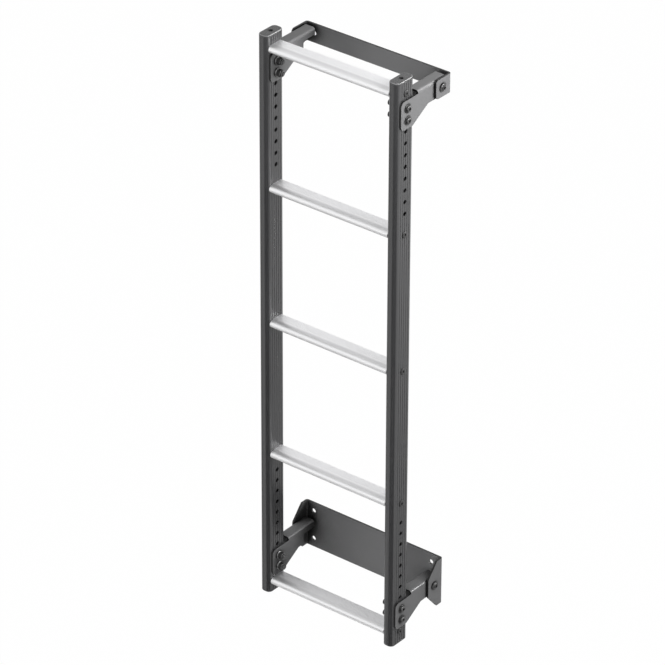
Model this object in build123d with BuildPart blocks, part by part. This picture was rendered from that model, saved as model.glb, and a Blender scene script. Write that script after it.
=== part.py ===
"""Van rear door ladder: extruded stiles with caps, ribbed rungs, folded arms and tilting door plates.

Millimetres. The origin is the middle of the lower door plate's back face, +Y points into the door and
+Z is up, so the ladder stands in front of the door at negative Y.
"""

import os
from math import radians, tan

from build123d import *

# Ladder
rung_count = 5
rung_spacing = 300
clear_width = 287

# Stile extrusion
stile_width = 25
stile_depth = 51
stile_wall = 2.2
stile_corner_radius = 10
stile_end_margin = 23.5
groove_count = 5
groove_pitch = 6.4
groove_width = 1.2
groove_depth = 0.5

# Hole rows in the stiles, drilled through both walls
hole_pitch = 25
holes_per_group = 10
first_hole_offset = 30
bolt_hole_diameter = 9
rung_screw_hole_diameter = 6.6

# Rung extrusion
rung_setback = 4
rung_depth = 37.5
rung_nose_radius = 7.6
rung_crown_drop = 1.1
rung_deck_height = 6.8
rung_deck_setback = 15
rung_back_radius = 2.5
rung_wall = 1.8
rung_port_diameter = 11
rung_pilot_diameter = 5.6
rib_gap_count = 6
rib_gap_pitch = 3.4
rib_gap_width = 1.2
rib_gap_depth = 0.35

# End caps
cap_flange = 4.5
cap_edge_radius = 2.5
cap_plug_depth = 14
cap_plug_wall = 2
cap_plug_clearance = 0.15
cap_hole_diameter = 10

# Folded steel sheet of the arms and door plates
sheet = 4
bend_radius = 2

# Arms
arm_width = 27
arm_front_setback = 6
arm_plate_margin = 17.5
arm_corner_radius = 10
arm_heel_inset = 10
arm_neck_start = 37
arm_neck_half_height = 19.5
arm_flange_gap = 6
arm_nose_reach = 13.5
nut_window_start = 21.5
nut_window_depth = 15
nut_window_radius = 5

# Pivots between the arms and the door plates
pivot_reach = 75
pivot_above_bolt = 5
pivot_to_door = 27.5
pivot_bolt_diameter = 8
pivot_hole_diameter = 8.5
pivot_side_clearance = 0.3
head_flange_diameter = 17.5
head_flange_thickness = 1.6
head_diameter = 14
head_top_diameter = 8
head_height = 5.6
head_dome_sagitta = 0.8
socket_across_flats = 5
socket_depth = 3
nut_across_flats = 13
nut_height = 8
nut_bore_clearance = 0.05
nut_chamfer = 0.8
bolt_tip = 3
bolt_tip_chamfer = 0.8

# Door plates
ear_reach = 20
ear_corner_radius = 8
upper_plate_height = 40
lower_plate_height = 105
ear_nose_height = 40
ear_slope_degrees = 49
door_hole_span = 300
door_hole_rise = 66
door_hole_diameter = 10.5

# Places along Y, from the door outwards
pivot_y = -pivot_to_door
stile_back = pivot_y - pivot_reach
stile_front = stile_back - stile_depth
hole_row = stile_back - stile_depth / 2
rung_front = stile_front + rung_setback
arm_end = pivot_y + arm_nose_reach
ear_front = pivot_y - ear_reach

# Places along Z, from the lower pivot upwards
lower_pivot = 0
lower_arm_bolt = lower_pivot - pivot_above_bolt
bottom_rung = lower_arm_bolt - hole_pitch - first_hole_offset
top_rung = bottom_rung + (rung_count - 1) * rung_spacing
upper_arm_bolt = top_rung - first_hole_offset
upper_pivot = upper_arm_bolt + pivot_above_bolt
stile_bottom = bottom_rung - stile_end_margin
stile_top = top_rung + stile_end_margin
rung_heights = [bottom_rung + step * rung_spacing for step in range(rung_count)]
group_steps = [first_hole_offset + step * hole_pitch for step in range(holes_per_group)]
bolt_heights = [bottom_rung + step for step in group_steps] + [top_rung - step for step in group_steps]

# Places along X, from the middle outwards
stile_inner = clear_width / 2
stile_outer = stile_inner + stile_width
stile_centre = stile_inner + stile_width / 2
right_arm_face = stile_outer + sheet
left_arm_face = -stile_inner + sheet - arm_width
ear_inner = right_arm_face + pivot_side_clearance
ear_outer = ear_inner + sheet
left_ear_inner = left_arm_face - pivot_side_clearance
left_ear_outer = left_ear_inner - sheet
plate_middle = (right_arm_face + left_arm_face) / 2
nut_inner = stile_outer - pivot_side_clearance - nut_height

outer_bend = bend_radius + sheet


def mirrored(source, plane):
    """The same piece on the other side of a plane."""
    with BuildPart() as twin:
        mirror(source.part, about=plane)
    return twin


def stile_outline():
    """Draw the stile's section, a box with well rounded corners."""
    with Locations((stile_centre, hole_row)):
        RectangleRounded(stile_width, stile_depth, stile_corner_radius)


def make_stile():
    """Hollow extrusion with fine grooves down both sides and rows of through holes."""
    with BuildPart() as stile:
        with BuildSketch(Plane.XY.offset(stile_bottom)):
            stile_outline()
            offset(amount=-stile_wall, mode=Mode.SUBTRACT)
            for face in (stile_inner, stile_outer):
                with Locations((face, hole_row)):
                    with GridLocations(0, groove_pitch, 1, groove_count):
                        Rectangle(2 * groove_depth, groove_width, mode=Mode.SUBTRACT)
        extrude(amount=stile_top - stile_bottom)
        with BuildSketch(Plane.YZ.offset(stile_inner)):
            with Locations([(hole_row, height) for height in bolt_heights]):
                Circle(bolt_hole_diameter / 2)
            with Locations([(hole_row, height) for height in rung_heights]):
                Circle(rung_screw_hole_diameter / 2)
        extrude(amount=stile_width, mode=Mode.SUBTRACT)
    return stile


def make_cap():
    """Push-in cap: a rounded lid over the stile's end, a hollow plug below it and a hole in the lid."""
    with BuildPart() as cap:
        with BuildSketch(Plane.XY.offset(stile_top)):
            stile_outline()
        extrude(amount=cap_flange)
        fillet(cap.faces().sort_by(Axis.Z)[-1].edges(), cap_edge_radius)
        with BuildSketch(Plane.XY.offset(stile_top)):
            stile_outline()
            offset(amount=-stile_wall - cap_plug_clearance, mode=Mode.REPLACE)
            offset(amount=-cap_plug_wall, mode=Mode.SUBTRACT)
        extrude(amount=-cap_plug_depth)
        with Locations((stile_centre, hole_row, stile_top + cap_flange)):
            Hole(cap_hole_diameter / 2, depth=cap_flange)
    return cap


def make_rung(height):
    """Tread extrusion: a bull nose that runs up to a ribbed deck in one curve, and a screw port inside."""
    back = rung_front + rung_depth
    deck = height + rung_deck_height
    deck_front = rung_front + rung_deck_setback
    nose = Vector(rung_front + rung_nose_radius, deck - rung_crown_drop - rung_nose_radius)
    bottom = nose.Y - rung_nose_radius
    run = deck_front - nose.X
    crown_radius = (run**2 + rung_crown_drop**2) / (2 * rung_crown_drop) + rung_nose_radius
    crown = Vector(deck_front, deck - crown_radius)
    crown_end = nose + (nose - crown).normalized() * rung_nose_radius
    with BuildPart() as rung:
        with BuildSketch(Plane.YZ.offset(-stile_inner)):
            with BuildLine():
                front = ThreePointArc((nose.X, bottom), (rung_front, nose.Y), crown_end)
                top = TangentArc(front @ 1, (deck_front, deck), tangent=front % 1)
                Polyline(top @ 1, (back, deck), (back, bottom), front @ 0)
            outline = make_face()
            fillet(outline.vertices().group_by(Axis.X)[-1], rung_back_radius)
            offset(amount=-rung_wall - rib_gap_depth, mode=Mode.SUBTRACT)
            with Locations((hole_row, height)):
                Circle(rung_port_diameter / 2)
                Circle(rung_pilot_diameter / 2, mode=Mode.SUBTRACT)
            with Locations(((deck_front + back) / 2, deck)):
                with GridLocations(rib_gap_pitch, 0, rib_gap_count, 1):
                    Rectangle(rib_gap_width, 2 * rib_gap_depth, mode=Mode.SUBTRACT)
        extrude(amount=clear_width)
    return rung


def stile_web_outline(bolt_height):
    """Draw the side view of an arm's +X web: a plate on the stile, a slanted heel and a neck."""
    pivot = bolt_height + pivot_above_bolt
    front = stile_front + arm_front_setback
    flange_front = stile_back + arm_flange_gap
    plate_top = bolt_height + arm_plate_margin
    plate_bottom = bolt_height - hole_pitch - arm_plate_margin
    neck_top = pivot + arm_neck_half_height
    neck_bottom = pivot - arm_neck_half_height
    heel = (stile_back - arm_heel_inset, plate_bottom)
    neck = (stile_back + arm_neck_start, neck_bottom)
    with BuildLine() as side:
        Polyline(
            (front, plate_top),
            (front, plate_bottom),
            heel,
            neck,
            (arm_end, neck_bottom),
            (arm_end, neck_top),
            (flange_front, neck_top),
            (flange_front, plate_top),
            close=True,
        )
    corners = make_face(side.edges()).vertices()
    rounded = [corners.sort_by_distance(place)[0] for place in (heel, neck, (arm_end, neck_bottom))]
    fillet(corners.group_by(Axis.X)[0] + rounded, arm_corner_radius)


def back_web_outline(bolt_height):
    """Draw the side view of an arm's other web, which starts behind the stile."""
    pivot = bolt_height + pivot_above_bolt
    flange_front = stile_back + arm_flange_gap
    with Locations((flange_front, pivot)):
        web = Rectangle(arm_end - flange_front, 2 * arm_neck_half_height, align=(Align.MIN, Align.CENTER))
    fillet(web.vertices().group_by(Axis.Y)[0], arm_corner_radius)


def cut_nut_window(web, bolt_height):
    """Open a web below its top strip, so that a spanner reaches the nut on the other web's pivot."""
    pivot = bolt_height + pivot_above_bolt
    corner = (pivot_y - nut_window_start, pivot + arm_neck_half_height - nut_window_depth)
    with Locations(corner):
        below = (Align.MIN, Align.MAX)
        Rectangle(arm_end - corner[0], 2 * arm_neck_half_height, align=below, mode=Mode.SUBTRACT)
    fillet(web.vertices().sort_by_distance(corner)[0], nut_window_radius)


def make_arm(bolt_height, stile_face, pivot_on_stile_web):
    """Channel folded from sheet, bolted to a stile's +X face; one of its webs carries the pivot."""
    pivot = bolt_height + pivot_above_bolt
    flange_front = stile_back + arm_flange_gap
    arm_face = stile_face + sheet
    back_face = arm_face - arm_width
    with BuildPart() as arm:
        with BuildSketch(Plane.YZ.offset(stile_face)) as stile_web:
            stile_web_outline(bolt_height)
            if not pivot_on_stile_web:
                cut_nut_window(stile_web, bolt_height)
            with Locations((hole_row, bolt_height), (hole_row, bolt_height - hole_pitch)):
                Circle(bolt_hole_diameter / 2, mode=Mode.SUBTRACT)
        extrude(amount=sheet)
        with BuildSketch(Plane.YZ.offset(back_face)) as back_web:
            back_web_outline(bolt_height)
            if pivot_on_stile_web:
                cut_nut_window(back_web, bolt_height)
        extrude(amount=sheet)
        with BuildSketch(Plane.XY.offset(pivot + arm_neck_half_height)):
            with Locations((arm_face, flange_front)):
                Rectangle(arm_width, arm_end - flange_front, align=(Align.MAX, Align.MIN))
        extrude(amount=-sheet)
        fillet(arm.edges().filter_by(Axis.Y).group_by(Axis.Z)[-2], bend_radius)
        fillet(arm.edges().filter_by(Axis.Y).group_by(Axis.Z)[-1], outer_bend)
        with BuildSketch(Plane.YZ.offset(back_face)):
            with Locations((pivot_y, pivot)):
                Circle(pivot_hole_diameter / 2)
        extrude(amount=arm_width, mode=Mode.SUBTRACT)
    return arm


def make_door_plate(pivot, height, nose_height, hole_rows):
    """Door plate folded into a shallow channel, with an ear at each end that turns on a pivot bolt."""
    slope_run = (height - nose_height) / 2 / tan(radians(ear_slope_degrees))
    width = ear_outer - left_ear_outer
    room = ear_inner - left_ear_inner
    below = (Align.CENTER, Align.MAX)
    with BuildPart() as plate:
        with BuildSketch(Plane.XY.offset(pivot - height / 2)) as channel:
            with Locations((plate_middle, 0)):
                Rectangle(width, -ear_front, align=below)
            with Locations((plate_middle, -sheet)):
                Rectangle(room, -ear_front, align=below, mode=Mode.SUBTRACT)
            fillet(channel.vertices().group_by(Axis.Y)[-1], outer_bend)
            fillet(channel.vertices().filter_by_position(Axis.Y, -sheet, -sheet), bend_radius)
        extrude(amount=height)
        with BuildSketch(Plane.YZ.offset(left_ear_outer)) as ear:
            with Locations((0, pivot)):
                Rectangle(-ear_front, nose_height, align=(Align.MAX, Align.CENTER))
                Rectangle(-ear_front - slope_run, height, align=(Align.MAX, Align.CENTER))
            make_hull(ear.edges())
            fillet(ear.vertices().group_by(Axis.X)[0], ear_corner_radius)
        extrude(amount=width, mode=Mode.INTERSECT)
        with BuildSketch(Plane.YZ.offset(left_ear_outer)):
            with Locations((pivot_y, pivot)):
                Circle(pivot_hole_diameter / 2)
        extrude(amount=width, mode=Mode.SUBTRACT)
        with BuildSketch(Plane.XZ.offset(sheet)):
            with Locations((0, pivot)):
                with GridLocations(door_hole_span, door_hole_rise, 2, hole_rows):
                    Circle(door_hole_diameter / 2)
        extrude(amount=-sheet, mode=Mode.SUBTRACT)
    return plate


def make_pivot_bolt(pivot):
    """Flanged button-head bolt on the right ear, with a hexagon socket."""
    section = Plane((0, pivot_y, pivot), x_dir=(1, 0, 0), z_dir=(0, -1, 0))
    shank = pivot_bolt_diameter / 2
    flange_top = ear_outer + head_flange_thickness
    head_top = ear_outer + head_height
    with BuildPart() as bolt:
        with BuildSketch(section):
            with BuildLine():
                tip = Polyline(
                    (nut_inner - bolt_tip, 0),
                    (nut_inner - bolt_tip, shank - bolt_tip_chamfer),
                    (nut_inner - bolt_tip + bolt_tip_chamfer, shank),
                    (ear_outer, shank),
                    (ear_outer, head_flange_diameter / 2),
                    (flange_top, head_flange_diameter / 2),
                    (flange_top, head_diameter / 2),
                )
                dome = SagittaArc(tip @ 1, (head_top, head_top_diameter / 2), -head_dome_sagitta)
                Polyline(dome @ 1, (head_top, 0), tip @ 0)
            make_face()
        revolve(axis=Axis(section.origin, section.x_dir))
        with BuildSketch(Plane.YZ.offset(head_top)):
            with Locations((pivot_y, pivot)):
                RegularPolygon(socket_across_flats / 2, 6, major_radius=False)
        extrude(amount=-socket_depth, mode=Mode.SUBTRACT)
    return bolt


def make_pivot_nut(pivot):
    """Hexagon nut inside the arm's outer web, on the pivot bolt."""
    with BuildPart() as nut:
        with BuildSketch(Plane.YZ.offset(nut_inner)):
            with Locations((pivot_y, pivot)):
                RegularPolygon(nut_across_flats / 2, 6, major_radius=False)
                Circle(pivot_bolt_diameter / 2 + nut_bore_clearance, mode=Mode.SUBTRACT)
        extrude(amount=nut_height)
        rim = nut.faces().sort_by(Axis.X)[0].outer_wire().edges()
        chamfer(rim, nut_chamfer)
    return nut


mid_height = Plane.XY.offset((stile_top + stile_bottom) / 2)
ladder_middle = Plane.YZ
ears_middle = Plane.YZ.offset(plate_middle)

pieces = {}
pieces["right_stile"] = make_stile()
pieces["upper_right_cap"] = make_cap()
pieces["lower_right_cap"] = mirrored(pieces["upper_right_cap"], mid_height)
for name in list(pieces):
    pieces[name.replace("right", "left")] = mirrored(pieces[name], ladder_middle)
for number, height in enumerate(reversed(rung_heights), start=1):
    pieces[f"rung_{number}"] = make_rung(height)
for place, bolt_height in {"upper": upper_arm_bolt, "lower": lower_arm_bolt}.items():
    pivot = bolt_height + pivot_above_bolt
    pieces[f"{place}_right_arm"] = make_arm(bolt_height, stile_outer, pivot_on_stile_web=True)
    pieces[f"{place}_left_arm"] = make_arm(bolt_height, -stile_inner, pivot_on_stile_web=False)
    pieces[f"{place}_right_pivot_bolt"] = make_pivot_bolt(pivot)
    pieces[f"{place}_left_pivot_bolt"] = mirrored(pieces[f"{place}_right_pivot_bolt"], ears_middle)
    pieces[f"{place}_right_pivot_nut"] = make_pivot_nut(pivot)
    pieces[f"{place}_left_pivot_nut"] = mirrored(pieces[f"{place}_right_pivot_nut"], ears_middle)
pieces["upper_door_plate"] = make_door_plate(upper_pivot, upper_plate_height, upper_plate_height, 1)
pieces["lower_door_plate"] = make_door_plate(lower_pivot, lower_plate_height, ear_nose_height, 2)

os.makedirs("parts", exist_ok=True)
for name, piece in pieces.items():
    piece.part.label = name
    export_step(piece.part, f"parts/{name}.step")
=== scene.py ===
# %% [markdown]
# # Van rear door ladder
# The ladder hangs on a van's rear door: two hollow black stiles, five ribbed silver rungs, and
# folded arms that carry a tilting door plate at the top and at the bottom. The solids come from CAD
# and stay as they are. This notebook gives them their finishes, adds the fasteners, and sets up the
# camera and the studio.

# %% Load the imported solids
import math

import bpy
import numpy as np
from mathutils import Matrix, Vector


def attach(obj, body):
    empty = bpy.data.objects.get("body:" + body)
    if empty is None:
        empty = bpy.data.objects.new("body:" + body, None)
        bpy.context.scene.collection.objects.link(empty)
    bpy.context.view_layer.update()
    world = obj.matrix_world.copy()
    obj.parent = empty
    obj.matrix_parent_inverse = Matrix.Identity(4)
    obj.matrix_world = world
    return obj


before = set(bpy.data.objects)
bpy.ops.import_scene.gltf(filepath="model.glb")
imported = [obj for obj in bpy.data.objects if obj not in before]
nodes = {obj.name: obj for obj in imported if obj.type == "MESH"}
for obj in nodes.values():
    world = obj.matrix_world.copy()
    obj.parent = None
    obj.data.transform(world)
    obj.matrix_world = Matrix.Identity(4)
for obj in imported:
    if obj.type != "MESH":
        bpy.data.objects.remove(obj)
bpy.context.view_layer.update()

# %% [markdown]
# ## Camera
# A product shot of a tall thin thing is taken from far away with a long lens, so that its edges stay
# nearly parallel. The camera stands high on the right. Its rotation is built from three plain
# angles: a turn about the vertical, a tilt above the horizon and a very small roll, which is easier
# to read than Euler angles.

# %% Camera from azimuth, elevation and roll
image_size = 665
focal_pixels = 4657.46
sensor_width = 36.0
camera_place = (4.82775, -6.2061, 5.12975)
azimuth, elevation, roll = (math.radians(a) for a in (38.483, 30.463, 0.186))

side = Vector((math.cos(azimuth), math.sin(azimuth), 0))
back = Vector((
    math.sin(azimuth) * math.cos(elevation),
    -math.cos(azimuth) * math.cos(elevation),
    math.sin(elevation),
))
turn = Matrix((side, back.cross(side), back)).transposed().to_4x4()

lens = bpy.data.cameras.new("camera")
lens.sensor_width = sensor_width
lens.lens = focal_pixels / image_size * sensor_width
camera = bpy.data.objects.new("camera", lens)
camera.matrix_world = Matrix.Translation(camera_place) @ turn @ Matrix.Rotation(roll, 4, "Z")
bpy.context.scene.collection.objects.link(camera)
bpy.context.scene.camera = camera
print("lens", round(lens.lens, 2), "mm")

# %% [markdown]
# ## Shader expressions
# A finish is mostly sums and products of a few patterns. Wiring Math nodes by hand hides that, so
# one small class wraps a socket: arithmetic on it adds Math nodes, and every other node comes from
# its one method.

# %% A socket that can be calculated with
class Shade:
    """One value in a material's node tree; + - * on it add Math nodes."""

    def __init__(self, tree, socket=None):
        self.tree = tree
        self.socket = socket

    def node(self, kind, inputs=None, output=0, **settings):
        """Add a node, set it up, feed its sockets and hand back one of its outputs."""
        made = self.tree.nodes.new(kind)
        for key, value in settings.items():
            setattr(made, key, value)
        for key, value in (inputs or {}).items():
            if isinstance(value, Shade):
                self.tree.links.new(value.socket, made.inputs[key])
            else:
                made.inputs[key].default_value = value
        return Shade(self.tree, None if output is None else made.outputs[output])

    def math(self, operation, *values):
        return self.node("ShaderNodeMath", dict(enumerate(values)), operation=operation)

    def __add__(self, other):
        return self.math("ADD", self, other)

    def __sub__(self, other):
        return self.math("SUBTRACT", self, other)

    def __rsub__(self, other):
        return self.math("SUBTRACT", other, self)

    def __mul__(self, other):
        return self.math("MULTIPLY", self, other)

    __radd__ = __add__
    __rmul__ = __mul__

    def size(self):
        return self.math("ABSOLUTE", self)

    def either(self, other):
        return self.math("MAXIMUM", self, other)

    def ramp(self, start, end):
        """0 at start and 1 at end, with a soft S between them; start may be the larger."""
        inputs = {"Value": self, "From Min": start, "From Max": end}
        return self.node("ShaderNodeMapRange", inputs, interpolation_type="SMOOTHSTEP")


def mix_colour(mask, low, high):
    """Colour low where the mask is 0 and high where it is 1."""
    low, high = ((*c, 1) if isinstance(c, tuple) else c for c in (low, high))
    return mask.node("ShaderNodeMix", {0: mask, 6: low, 7: high}, output=2, data_type="RGBA")


print("shader class ready")

# %% [markdown]
# ## The ground that all finishes share
# Each finish starts from the same few facts about a point: where it is, which way it faces, how open
# its surroundings are, and a noise of a chosen grain there. Stretching the noise along one axis
# turns grain into the fine lines that a die leaves on an extrusion. Everything reads Object
# coordinates, so a finish stays put when a joint moves.

# %% What a finish can ask about a point
bevel_samples = 4
openness_samples = 8


def parts_of(vector):
    """A vector's x, y and z."""
    return [vector.node("ShaderNodeSeparateXYZ", {0: vector}, output=k) for k in range(3)]


def place(shade):
    """Where a point is on its piece, in metres."""
    return shade.node("ShaderNodeTexCoord", output="Object")


def facing(shade):
    """Which way the surface faces, in the piece's own axes."""
    return shade.node("ShaderNodeTexCoord", output="Normal")


def grain(vector, millimetres, stretch=(1, 1, 1), detail=2.0):
    """Noise from 0 to 1 with grains of this size; a stretch above 1 draws them out on that axis."""
    scale = tuple(1000 / millimetres / s for s in stretch)
    moved = vector.node("ShaderNodeMapping", {"Vector": vector, "Scale": scale})
    return moved.node("ShaderNodeTexNoise", {"Vector": moved, "Scale": 1.0, "Detail": detail})


def bumped(height, millimetres, rounding):
    """Normal of a surface raised by height times so many mm, with edges eased by rounding in mm."""
    eased = height.node("ShaderNodeBevel", {"Radius": rounding / 1000}, samples=bevel_samples)
    inputs = {
        "Height": height,
        "Strength": 1.0,
        "Distance": millimetres / 1000,
        "Normal": eased,
    }
    return height.node("ShaderNodeBump", inputs)


def openness(shade, millimetres):
    """1 on open surface, falling towards 0 in corners and crevices of about this size."""
    reach = {"Distance": millimetres / 1000}
    settings = {"samples": openness_samples, "only_local": False}
    return shade.node("ShaderNodeAmbientOcclusion", reach, output="AO", **settings)


print("questions ready")

# %% Starting, closing and wearing a material
def new_material(name):
    """An empty material with its tree wrapped."""
    material = bpy.data.materials.new(name)
    material.use_nodes = True
    material.node_tree.nodes.clear()
    return material, Shade(material.node_tree)


def close_material(material, shade, sockets):
    """Close a tree with one Principled shader fed by these sockets."""
    shader = shade.node("ShaderNodeBsdfPrincipled", sockets)
    shade.node("ShaderNodeOutputMaterial", {"Surface": shader}, output=None)
    return material


def dress(material, *names):
    """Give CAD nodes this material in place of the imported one."""
    for name in names:
        nodes[name].data.materials.clear()
        nodes[name].data.materials.append(material)


print("helpers ready")

# %% [markdown]
# ## Stiles: satin black extrusion
# The stiles are aluminium, pressed through a die and then finished black. The coat is thin, so the
# die's lines still run along the whole length, and the face reflects softly rather than looking
# chalky. A noise drawn out along Z gives those lines to the colour, the roughness and a very low
# bump.

# %% Stile finish
stile_dark = (0.047, 0.047, 0.049)
stile_light = (0.067, 0.067, 0.069)


def stile_finish():
    """Die lines along Z over slow clouds."""
    material, shade = new_material("stile_coat")
    where = place(shade)
    lines = grain(where, 0.5, stretch=(1, 1, 400), detail=3.0)
    cloud = grain(where, 60.0, stretch=(1, 1, 3))
    return close_material(material, shade, {
        "Base Color": mix_colour(lines * 0.7 + cloud * 0.3, stile_dark, stile_light),
        "Roughness": 0.18 + lines * 0.10 + cloud * 0.06,
        "IOR": 1.7,
        "Normal": bumped(lines, 0.012, rounding=0.5),
    })


dress(stile_finish(), "left_stile", "right_stile")
print("stiles dressed")

# %% [markdown]
# ## Rungs: clear anodised tread
# Bare anodised aluminium is a bright, slightly milky metal. Its extrusion lines run across the
# ladder, along X. The crown between the deck and the nose carries a painted shade band, and the
# faces that look down carry painted shade too. The saw-cut ends are matt: they scatter light like a
# pale paint.

# %% Rung finish
rung_count = 5
crown_front, crown_middle, deck_front = -0.1470, -0.1400, -0.1340
rung_low, rung_high = (0.95, 0.95, 0.96), (0.98, 0.98, 0.99)
# Grey of the painted shade on the rungs' crown and on their down-facing faces.
rung_painted_shade = (0.40, 0.40, 0.41)
rung_metal = 0.75


def rung_finish():
    """Bright metal with lines along X, painted shade on the crown and below, matt on the cut ends."""
    material, shade = new_material("rung_anodised")
    where = place(shade)
    lines = grain(where, 0.6, stretch=(300, 1, 1), detail=3.0)
    cloud = grain(where, 40.0, stretch=(3, 1, 1))
    bright = mix_colour(lines * 0.5 + cloud * 0.5, rung_low, rung_high)
    depth = parts_of(where)[1]
    towards = parts_of(facing(shade))
    crown = depth.ramp(crown_front, crown_middle) * depth.ramp(deck_front, crown_middle)
    # Painted shade: a darker band on the crown and on faces that look down.
    crown_shade = crown * towards[2].ramp(0.2, 0.6)
    underside_shade = towards[2].ramp(-0.35, -0.75)
    cut = towards[0].size().ramp(0.6, 0.8)
    return close_material(material, shade, {
        "Base Color": mix_colour((crown_shade * 0.28).either(underside_shade * 0.3), bright, rung_painted_shade),
        "Metallic": rung_metal - cut * rung_metal,
        "Roughness": 0.34 + lines * 0.10 + cloud * 0.06 + cut * 0.3,
        "Normal": bumped(lines, 0.02, rounding=0.2),
    })


dress(rung_finish(), *(f"rung_{number}" for number in range(1, rung_count + 1)))
print("rungs dressed")

# %% [markdown]
# ## Arms and door plates: powder coat on folded steel
# Powder coat melts into a skin with a faint orange peel. Its cut edges are painted near black, as
# painted shade, and the outside of a bend carries a painted highlight, brighter on the right than
# on the left. Sheltered corners, the rings round the nuts and the sides that lead to the door get
# painted shade as well. Each of these is a mask from 0 to 1, and among the dark ones the strongest
# wins.

# %% Powder coat
coat_face = (0.205, 0.205, 0.208)
# Near-black colour of the painted shade on cut edges, in corners, round nuts and towards the door.
coat_painted_shade = (0.012, 0.012, 0.012)
# Pale colour of the painted highlight along the outside of bends.
coat_painted_highlight = (0.340, 0.340, 0.345)
colour_drift = 0.12
middle_band = 0.05
shade_run = 0.040
# Span in Y over which the painted shade on the door side grows.
door_shade_from, door_shade_to = -0.100, -0.020
crevice_reach = 5.0


def painted_bend_highlights(towards, right):
    """Painted highlight on bends between a top and a side, mostly those on the right."""
    bends = towards[0].size().ramp(0.48, 0.68) * towards[2].ramp(0.48, 0.68)
    return bends * (0.3 + right * 0.7)


def painted_door_shade(depth, towards, right, strength):
    """Painted shade on upright faces, growing darker towards the door, mostly on the left."""
    upright = 1 - towards[2].ramp(0.4, 0.8) * 0.7
    return depth.ramp(door_shade_from, door_shade_to) * upright * (1 - right * 0.8) * strength


def powder_coat(name, find_edges, reach, shade_from, door_shade, right_share=1.0):
    """Matt coat of one folded piece.

    find_edges masks the cut edges, which get painted shade. Corners of about reach mm get painted
    shade behind Y = shade_from, those on the right only by right_share. Upright faces get painted
    shade of this strength towards the door.
    """
    material, shade = new_material(name)
    where = place(shade)
    spot = parts_of(where)
    depth = spot[1]
    towards = parts_of(facing(shade))
    right = spot[0].ramp(-middle_band, middle_band)

    peel = grain(where, 2.2)
    speck = grain(where, 0.45, detail=1.0)
    cloud = grain(where, 35.0)
    deep = tuple(c * (1 - colour_drift) for c in coat_face)
    pale = tuple(c * (1 + colour_drift) for c in coat_face)
    face = mix_colour(speck * 0.45 + cloud * 0.55, deep, pale)
    # Painted highlight on the outside of bends, where the roughness is lower too.
    bend_highlight = painted_bend_highlights(towards, right)

    # Painted shade: dark where corners close in, round the nuts, towards the door and on cut edges.
    closed = 1 - openness(shade, reach).ramp(0.50, 0.98)
    corners = depth.ramp(shade_from, shade_from + shade_run) * closed
    corners = corners * (1 - right * (1 - right_share))
    crevices = 1 - openness(shade, crevice_reach).ramp(0.68, 1.0)
    painted_shade = corners.either(painted_door_shade(depth, towards, right, door_shade)).either(crevices)
    dark = find_edges(spot, towards).either(painted_shade)
    return close_material(material, shade, {
        "Base Color": mix_colour(dark, mix_colour(bend_highlight, face, coat_painted_highlight), coat_painted_shade),
        "Roughness": 0.34 + speck * 0.10 + cloud * 0.05 - bend_highlight * 0.20,
        "IOR": 1.4,
        "Normal": bumped(peel + speck * 0.4, 0.05, rounding=0.4),
    })


print("powder coat ready")

# %% [markdown]
# ### Cut edges
# Cut edges are painted near black, as painted shade. They are found by direction: a folded
# channel's faces and bends never face along its fold line, and its edges do. The arms are folded
# along Y and the plates along Z, so each kind has its own mask.

# %% Edges of arms and plates
sheet = 0.004
arm_half_height = 0.0195
ear_front = -0.0475


def arm_edges(pivot):
    """An arm is folded along Y: edges face along Y, or up and down below the flange."""
    flange = pivot + arm_half_height - sheet

    def edges(spot, towards):
        along_fold = towards[1].size().ramp(0.05, 0.2)
        up_or_down = towards[2].size().ramp(0.6, 0.8)
        below = spot[2].ramp(flange - 0.0020, flange - 0.0024)
        return along_fold.either(up_or_down * below)
    return edges


def plate_edges(spot, towards):
    """A plate is folded along Z: edges face up and down, or forward at the front of an ear."""
    along_fold = towards[2].size().ramp(0.05, 0.2)
    return along_fold.either(spot[1].ramp(ear_front + 0.0012, ear_front + 0.0006))


print("edge masks ready")

# %% Dress arms and plates
pivots = {"lower": 0.0, "upper": 1.115}
ladder_front = -0.200
arm_reach = 150.0
arm_shade_from = {"lower": ladder_front, "upper": -0.090}
# Strength of the painted shade towards the door, per level of arms.
arm_door_shade = {"lower": 0.95, "upper": 0.30}
plate_reach = {"lower": 115.0, "upper": 55.0}
# Share of the painted corner shade kept on the right side of each plate.
plate_right_share = {"lower": 0.3, "upper": 1.0}

for level, pivot in pivots.items():
    arm_coat = powder_coat(
        f"{level}_arm_coat", arm_edges(pivot), arm_reach,
        shade_from=arm_shade_from[level], door_shade=arm_door_shade[level])
    dress(arm_coat, f"{level}_left_arm", f"{level}_right_arm")
    plate_coat = powder_coat(
        f"{level}_plate_coat", plate_edges, plate_reach[level],
        shade_from=ladder_front, door_shade=0.0, right_share=plate_right_share[level])
    dress(plate_coat, f"{level}_door_plate")
print("arms and plates dressed")

# %% [markdown]
# ## Caps, bolts and nuts
# The caps are moulded plastic with a fine spark-eroded grain, a soft sheen and a painted highlight
# along the rim. All fasteners are black zinc, half metal and half coat, with painted shade, nearly
# black, in sockets and crevices. The tall nuts get painted shade on their sides and a painted
# highlight on their end faces.

# %% Cap finish
cap_dark, cap_light = (0.066, 0.066, 0.068), (0.084, 0.084, 0.086)
# Pale colour of the painted highlight on the cap rims.
cap_painted_highlight = (0.30, 0.30, 0.304)


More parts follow.
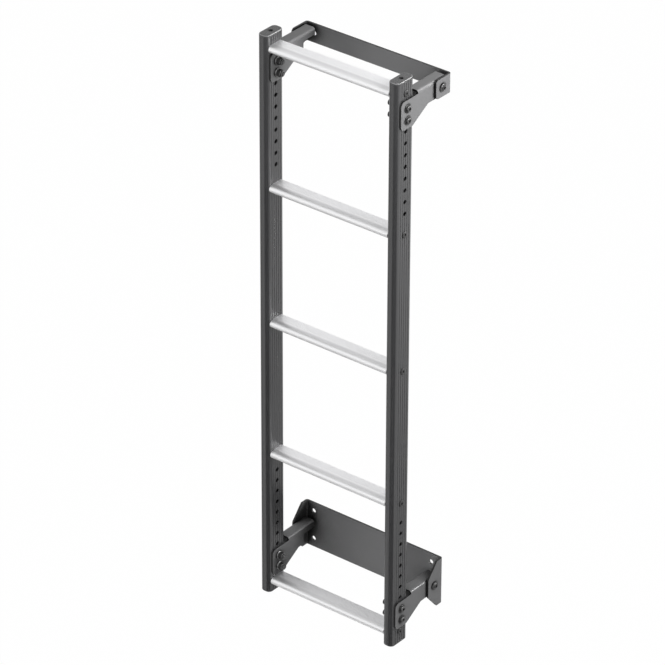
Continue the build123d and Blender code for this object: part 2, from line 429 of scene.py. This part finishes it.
def cap_finish():
    """Fine grain on black plastic; a painted highlight on the rim, where the top turns to the side."""
    material, shade = new_material("cap_plastic")
    where = place(shade)
    fine = grain(where, 0.35)
    cloud = grain(where, 12.0)
    up = parts_of(facing(shade))[2].size()
    # Painted highlight along the rim, where the roughness is lower too.
    rim = up.ramp(0.25, 0.45) * up.ramp(0.95, 0.80)
    return close_material(material, shade, {
        "Base Color": mix_colour(rim, mix_colour(cloud, cap_dark, cap_light), cap_painted_highlight),
        "Roughness": 0.22 + fine * 0.10 - rim * 0.10,
        "Normal": bumped(fine, 0.03, rounding=0.4),
    })


dress(cap_finish(), *(name for name in nodes if name.endswith("_cap")))
print("caps dressed")

# %% Bolt, nut and screw finishes
# Near-black colour of the painted shade in sockets and crevices.
zinc_painted_shade = (0.004, 0.004, 0.004)


def zinc_finish(name, sides, ends, metal, roughness, crevice):
    """Black zinc: greys of its sides and its ends along X, painted near black as shade in crevices of
    so many mm.
    """
    material, shade = new_material(name)
    where = place(shade)
    fine = grain(where, 0.5)
    cloud = grain(where, 5.0)
    end_faces = parts_of(facing(shade))[0].size().ramp(0.35, 0.75)
    grey = mix_colour(end_faces, (sides,) * 3, (ends,) * 3)
    exposed = openness(shade, crevice).ramp(0.74, 1.0)
    return close_material(material, shade, {
        "Base Color": mix_colour(exposed, zinc_painted_shade, grey),
        "Metallic": metal,
        "Roughness": roughness + fine * 0.08 + cloud * 0.06,
        "Normal": bumped(fine, 0.01, rounding=0.3),
    })


bolt_black = zinc_finish("bolt_black", 0.11, 0.11, metal=0.5, roughness=0.22, crevice=7.0)
# The nuts' dark sides are painted shade and their pale end faces are a painted highlight.
nut_black = zinc_finish("nut_black", 0.035, 0.28, metal=0.6, roughness=0.26, crevice=6.0)
screw_black = zinc_finish("screw_black", 0.060, 0.060, metal=0.5, roughness=0.30, crevice=3.0)
dress(bolt_black, *(name for name in nodes if name.endswith("_pivot_bolt")))
dress(nut_black, *(name for name in nodes if name.endswith("_pivot_nut")))
print("pivot bolts and nuts dressed")

# %% [markdown]
# ## Fasteners
# Every fastener is a turned part: a profile of heights and radii carried round an axis. Its radius
# may also depend on the angle, which gives hexagons and threads for free. Whole grids of points are
# computed at once, a ring for each row of the profile, and the two ends are closed by a single point
# or by joining the loop.

# %% Turned surfaces
spokes = 48
sharp_angle = math.radians(32)
angles = np.linspace(0, 2 * np.pi, spokes, endpoint=False)
flat = np.ones(spokes)


def grid_faces(index, loop):
    """Quads between each row and the next, all the way round; a loop joins its last row too."""
    lower = index if loop else index[:-1]
    upper = np.roll(index, -1, axis=0) if loop else index[1:]
    corners = [lower, np.roll(lower, -1, axis=1), np.roll(upper, -1, axis=1), upper]
    return np.stack(corners, axis=-1).reshape(-1, 4).tolist()


def end_fans(index):
    """Triangles that close the first and the last row round one middle point each."""
    ring, top = index[0], index[-1]
    first, last = np.full(spokes, index.size), np.full(spokes, index.size + 1)
    fans = [(np.roll(ring, -1), ring, first), (top, np.roll(top, -1), last)]
    return [face for fan in fans for face in np.stack(fan, axis=-1).tolist()]


def turned(name, start, sign, rows, loop, material):
    """P(row, angle) = start + sign * height * X + radius * (cos(angle) * Y + sign * sin(angle) * Z)."""
    heights, radii = (np.array(column, float) for column in zip(*rows))
    points = np.empty((len(heights), spokes, 3))
    points[..., 0] = start[0] + sign * heights[:, None]
    points[..., 1] = start[1] + radii * np.cos(angles)
    points[..., 2] = start[2] + sign * radii * np.sin(angles)
    index = np.arange(len(heights) * spokes).reshape(len(heights), spokes)
    points = points.reshape(-1, 3)
    faces = grid_faces(index, loop)
    if not loop:
        middles = np.array([[start[0] + sign * h, start[1], start[2]] for h in heights[[0, -1]]])
        points = np.concatenate([points, middles])
        faces += end_fans(index)
    mesh = bpy.data.meshes.new(name)
    mesh.from_pydata(points.tolist(), [], faces)
    mesh.shade_smooth()
    mesh.set_sharp_from_angle(angle=sharp_angle)
    mesh.materials.append(material)
    piece = bpy.data.objects.new(name, mesh)
    bpy.context.scene.collection.objects.link(piece)
    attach(piece, "ladder")
    return piece


def round_rows(*pairs):
    """Rows of a round profile from pairs of height and radius."""
    return [(height, flat * radius) for height, radius in pairs]


def hexagon(across_flats):
    """Radius of a hexagon: half its width over the cosine of the angle from the nearest flat."""
    return across_flats / 2 / np.cos(np.mod(angles, np.pi / 3) - np.pi / 6)


print("spokes", spokes)

# %% [markdown]
# ### Arm bolts
# Flanged button-head bolts, the same as the pivot bolts, clamp the arms to the stiles. Their ends
# stand out of the nuts, so they carry a real thread: the radius drops and rises once per pitch of a
# helix, a triangle wave of height minus the turned share of the pitch. The hexagon socket is the
# last stretch of the profile.

# %% Arm bolts
shank = 0.004
bolt_length = 0.0450
tip_radius = shank - 0.0012
thread_pitch = 0.00125
thread_depth = 0.0006
thread_rows_per_pitch = 6
thread_start, thread_end = 0.001, 0.021
bolt_socket = hexagon(0.005)
dome_base, dome_height = 0.0018, 0.0038
dome_top_radius, dome_run = 0.0042, 0.0028
dome_steps = 7


def thread(heights, radius):
    """Radius of a helical thread: a triangle wave of height / pitch - angle / one turn."""
    wave = np.mod(heights[:, None] / thread_pitch - angles / (2 * np.pi), 1)
    return radius - thread_depth * np.abs(2 * wave - 1)


def arm_bolt(name, start, sign):
    """Bolt whose head sits at start and points along sign: tip, thread, flange, dome and socket."""
    step = thread_pitch / thread_rows_per_pitch
    cut = np.arange(-bolt_length + thread_start, -bolt_length + thread_end, step)
    rows = round_rows((-bolt_length, tip_radius)) + list(zip(cut, thread(cut, shank)))
    rows += round_rows((0.0, shank), (0.0, 0.0083), (0.0004, 0.00875), (0.0012, 0.00875))
    rows += round_rows((0.0016, 0.0083), (0.0018, 0.0070))
    rise = np.linspace(0, np.pi / 2, dome_steps)[1:]
    rows += round_rows(*(
        (dome_base + dome_height * np.sin(t), dome_top_radius + dome_run * np.cos(t)) for t in rise))
    rows += [(0.0056, bolt_socket * 1.12), (0.0053, bolt_socket)]
    rows += [(0.0026, bolt_socket), (0.0022, bolt_socket * 0.35)]
    return turned(name, start, sign, rows, False, bolt_black)


print("thread rows per pitch", thread_rows_per_pitch)

# %% [markdown]
# ### Flange nuts
# A tall nut with a dished flange takes each bolt. Its hexagon is cut off by a cone at the top, and a
# low collar grips the thread. The smaller of two radii gives such a cut: where the cone is narrower
# than the hexagon, the cone shows. The profile runs back down the bore and closes on itself.

# %% Flange nuts
nut_across = hexagon(0.013)
bore = shank + 0.0001
cone_heights = (0.0094, 0.0100, 0.0106, 0.0112)
cone_top_radius, cone_slope = 0.0063, 1.7


def flange_nut(name, start, sign):
    """Nut whose base lies at start: flange, hexagon, cone, collar, and back down the bore."""
    rows = round_rows((0.0, bore), (0.0, 0.0086), (0.0004, 0.0090), (0.0013, 0.0090))
    rows += round_rows((0.0019, 0.0086))
    rows += [(0.0030, np.minimum(nut_across * 1.02, 0.0078)), (0.0034, np.minimum(nut_across, 0.0074))]
    for height in cone_heights:
        cone = cone_top_radius + cone_slope * (cone_heights[-1] - height)
        rows.append((height, np.minimum(nut_across, cone)))
    rows += round_rows((0.0114, 0.0060), (0.0134, 0.0060), (0.0141, 0.0056), (0.0144, 0.0049))
    rows += round_rows((0.0142, 0.0044), (0.0138, bore))
    return turned(name, start, sign, rows, True, nut_black)


print("nut height", cone_heights[-1])

# %% Put bolts and nuts in their holes
hole_row = -0.128
stile_inner, stile_outer = 0.1435, 0.1685
bolt_rows = {"lower": (-0.005, -0.030), "upper": (1.110, 1.085)}

for level, heights in bolt_rows.items():
    for number, height in enumerate(heights, start=1):
        right_head = (stile_outer + sheet, hole_row, height)
        arm_bolt(f"{level}_right_arm_bolt_{number}", right_head, 1)
        flange_nut(f"{level}_right_arm_nut_{number}", (stile_inner, hole_row, height), -1)
        arm_bolt(f"{level}_left_arm_bolt_{number}", (-stile_outer, hole_row, height), -1)
        flange_nut(f"{level}_left_arm_nut_{number}", (-stile_inner + sheet, hole_row, height), 1)
print("arm bolts and nuts", 4 * sum(len(heights) for heights in bolt_rows.values()))

# %% [markdown]
# ### Rung screws
# Each rung is held at each end by one button-head screw, which goes through the stile into the port
# inside the rung. Only the low dome and its socket show, on the outer face of the stile.

# %% Rung screws
bottom_rung, rung_spacing = -0.060, 0.300
screw_length, screw_point = 0.040, 0.001
screw_shank = 0.0027
screw_socket = hexagon(0.004)
screw_edge, screw_dome = 0.0005, 0.0015
screw_top_radius, screw_run = 0.0034, 0.0038
screw_steps = 8


def rung_screw(name, start, sign):
    """Button-head screw: a plain shank, a quarter-ellipse dome and a hexagon socket."""
    rows = round_rows((-screw_length, 0.0018), (-screw_length + screw_point, screw_shank))
    rows += round_rows((0.0, screw_shank), (0.0, 0.0070))
    rise = np.linspace(0, np.pi / 2, screw_steps)
    rows += round_rows(*(
        (screw_edge + screw_dome * np.sin(t), screw_top_radius + screw_run * np.cos(t)) for t in rise))
    rows += [(0.0020, screw_socket * 1.1), (0.0018, screw_socket)]
    rows += [(0.0004, screw_socket), (0.0003, screw_socket * 0.4)]
    return turned(name, start, sign, rows, False, screw_black)


rung_heights = [bottom_rung + rung_spacing * step for step in range(rung_count)]
for number, height in enumerate(reversed(rung_heights), start=1):
    rung_screw(f"rung_{number}_right_screw", (stile_outer, hole_row, height), 1)
    rung_screw(f"rung_{number}_left_screw", (-stile_outer, hole_row, height), -1)
print("rung screws", 2 * len(rung_heights))

# %% [markdown]
# ## Studio
# The shot is a cut-out look on white. A wide floor far below the ladder keeps its shadow out of the
# frame, and shows white to the camera. Satin black needs something dark to mirror, or its round
# noses look grey, so a dark card lies on the floor in front, where the camera doesn't see it.

# %% Floor
floor_half, floor_level = 14.0, -0.75
floor_pale = (0.86, 0.86, 0.86, 1)
white = (1, 1, 1, 1)
shadow_share = 0.005
# Level of the painted shadow that reflections see on the floor near the ladder.
floor_shadow_level = 0.55


def ray(shade, *kinds):
    """1 for rays of any of these kinds, such as Camera or Glossy."""
    found = shade.node("ShaderNodeLightPath", output=f"Is {kinds[0]} Ray")
    for kind in kinds[1:]:
        found = found.either(shade.node("ShaderNodeLightPath", output=f"Is {kind} Ray"))
    return found


def close_mixed(material, shade, mask, low, high):
    """Close a tree with one shader where the mask is 0 and another where it is 1."""
    shown = shade.node("ShaderNodeMixShader", {0: mask, 1: low, 2: high})
    shade.node("ShaderNodeOutputMaterial", {"Surface": shown}, output=None)
    return material


def floor_finish():
    """Pale floor, white to the camera; in reflections a painted shadow behind and round the ladder's
    foot.
    """
    material, shade = new_material("floor")
    across, along, _ = parts_of(place(shade))
    # Painted shadow: reflections see the floor's glow dimmer near the ladder and behind it.
    away = (across * across + along * along).ramp(0.6, 10.0)
    reflected_shadow = floor_shadow_level + away.either(along.ramp(0.4, -0.4)) * (1 - floor_shadow_level)
    strength = ray(shade, "Camera").either(reflected_shadow)
    pale = shade.node("ShaderNodeBsdfDiffuse", {"Color": floor_pale})
    glow = shade.node("ShaderNodeEmission", {"Color": white, "Strength": strength})
    seen = ray(shade, "Camera", "Glossy", "Transmission") * (1 - shadow_share)
    return close_mixed(material, shade, seen, pale, glow)


def stage_mesh(name, points, faces, material):
    """Put a mesh of these points and faces on the stage."""
    mesh = bpy.data.meshes.new(name)
    mesh.from_pydata(points.tolist(), [], faces)
    mesh.materials.append(material)
    made = bpy.data.objects.new(name, mesh)
    bpy.context.scene.collection.objects.link(made)
    return made


floor_corners = np.array([[-1, -1, 0], [1, -1, 0], [1, 1, 0], [-1, 1, 0]]) * floor_half
floor_corners[:, 2] = floor_level
stage_mesh("floor", floor_corners, [(0, 1, 2, 3)], floor_finish())
print("floor at", floor_level)

# %% Dark card
card_level = -0.74
card_middle = -0.1
card_inner, card_outer = 0.5, 5.0
card_start, card_end = 178, 342
card_black = (0.02, 0.02, 0.02, 1)
grey_near, grey_far = 0.8, 0.4


def card_finish():
    """Black card; its left end, from about half a radian off the front, glows grey."""
    material, shade = new_material("black_card")
    across, along, _ = parts_of(place(shade))
    bearing = across.math("ARCTAN2", across, -1 * along)
    level = grey_near - bearing.ramp(-0.75, -0.95) * (grey_near - grey_far)
    black = shade.node("ShaderNodeBsdfDiffuse", {"Color": card_black})
    grey = shade.node("ShaderNodeEmission", {"Color": white, "Strength": level})
    return close_mixed(material, shade, bearing.ramp(-0.36, -0.52), black, grey)


def black_card():
    """Part of a ring: P(angle, radius) = radius * (cos(angle), sin(angle)) + middle, at one level."""
    around = np.radians(np.linspace(card_start, card_end, 40))
    around, outwards = np.meshgrid(around, np.linspace(card_inner, card_outer, 4), indexing="ij")
    across, along = outwards * np.cos(around), outwards * np.sin(around) + card_middle
    points = np.stack([across, along, np.full_like(around, card_level)], -1).reshape(-1, 3)
    index = np.arange(around.size).reshape(around.shape)
    corners = [index[:-1, :-1], index[1:, :-1], index[1:, 1:], index[:-1, 1:]]
    faces = np.stack(corners, -1).reshape(-1, 4).tolist()
    card = stage_mesh("black_card", points, faces, card_finish())
    card.visible_camera = False
    card.visible_diffuse = False


black_card()
print("card from", card_start, "to", card_end, "degrees")

# %% [markdown]
# ### Walls and lamps
# The world is a white room with a darker ceiling for the camera and for reflections, and only a weak
# fill for everything else, so the lamps keep their shape. The key hangs high on the right and lights
# the outer faces, more at the top than at the bottom. A rim lamp behind on the right lights the
# treads. Three fills stand in front, on the left and low down; they aren't mirrored, so they leave
# no glints in the black parts.

# %% World
def studio_world(fill, ceiling):
    """White walls for the camera and reflections, a ceiling darker by a share, a fill for the rest."""
    world = bpy.data.worlds.new("studio")
    world.use_nodes = True
    world.node_tree.nodes.clear()
    shade = Shade(world.node_tree)
    up = parts_of(shade.node("ShaderNodeTexCoord", output="Generated"))[2]
    room = 1 - up.ramp(0.62, 0.88) * ceiling
    level = ray(shade, "Glossy", "Transmission") * (1 - fill) + fill
    strength = ray(shade, "Camera").either(room * level)
    sky = shade.node("ShaderNodeBackground", {"Color": white, "Strength": strength})
    shade.node("ShaderNodeOutputWorld", {"Surface": sky}, output=None)
    bpy.context.scene.world = world


studio_world(fill=0.05, ceiling=0.40)
print("world ready")

# %% Lamps
def soft_lamp(name, spot, target, size, watts, mirrored=True):
    """Area lamp of some width and height at a spot, facing a target; not mirrored, it only lights."""
    data = bpy.data.lights.new(name, "AREA")
    data.shape = "RECTANGLE"
    data.size, data.size_y = size
    data.energy = watts
    lamp = bpy.data.objects.new(name, data)
    lamp.visible_glossy = mirrored
    lamp.visible_camera = False
    lamp.location = spot
    lamp.rotation_euler = (Vector(target) - Vector(spot)).to_track_quat("-Z", "Y").to_euler()
    bpy.context.scene.collection.objects.link(lamp)


soft_lamp("key", (1.0, -0.1, 1.7), (0.1, -0.1, 1.0), (0.6, 0.6), 12.5)
soft_lamp("rim", (1.9, 1.9, 1.4), (0.0, -0.1, 0.7), (0.5, 0.9), 32)
soft_lamp("front", (0.1, -1.2, 1.5), (0.0, -0.1, 1.0), (1.6, 1.2), 7.0, mirrored=False)
soft_lamp("left", (-1.6, -2.2, 0.7), (0.0, -0.1, 0.2), (1.6, 1.2), 14, mirrored=False)
soft_lamp("low_front", (0.5, -0.95, 0.15), (0.15, 0.0, 0.0), (0.5, 0.4), 3.0, mirrored=False)
bpy.context.scene.view_settings.view_transform = "Standard"
print("lamps", len(bpy.data.lights))
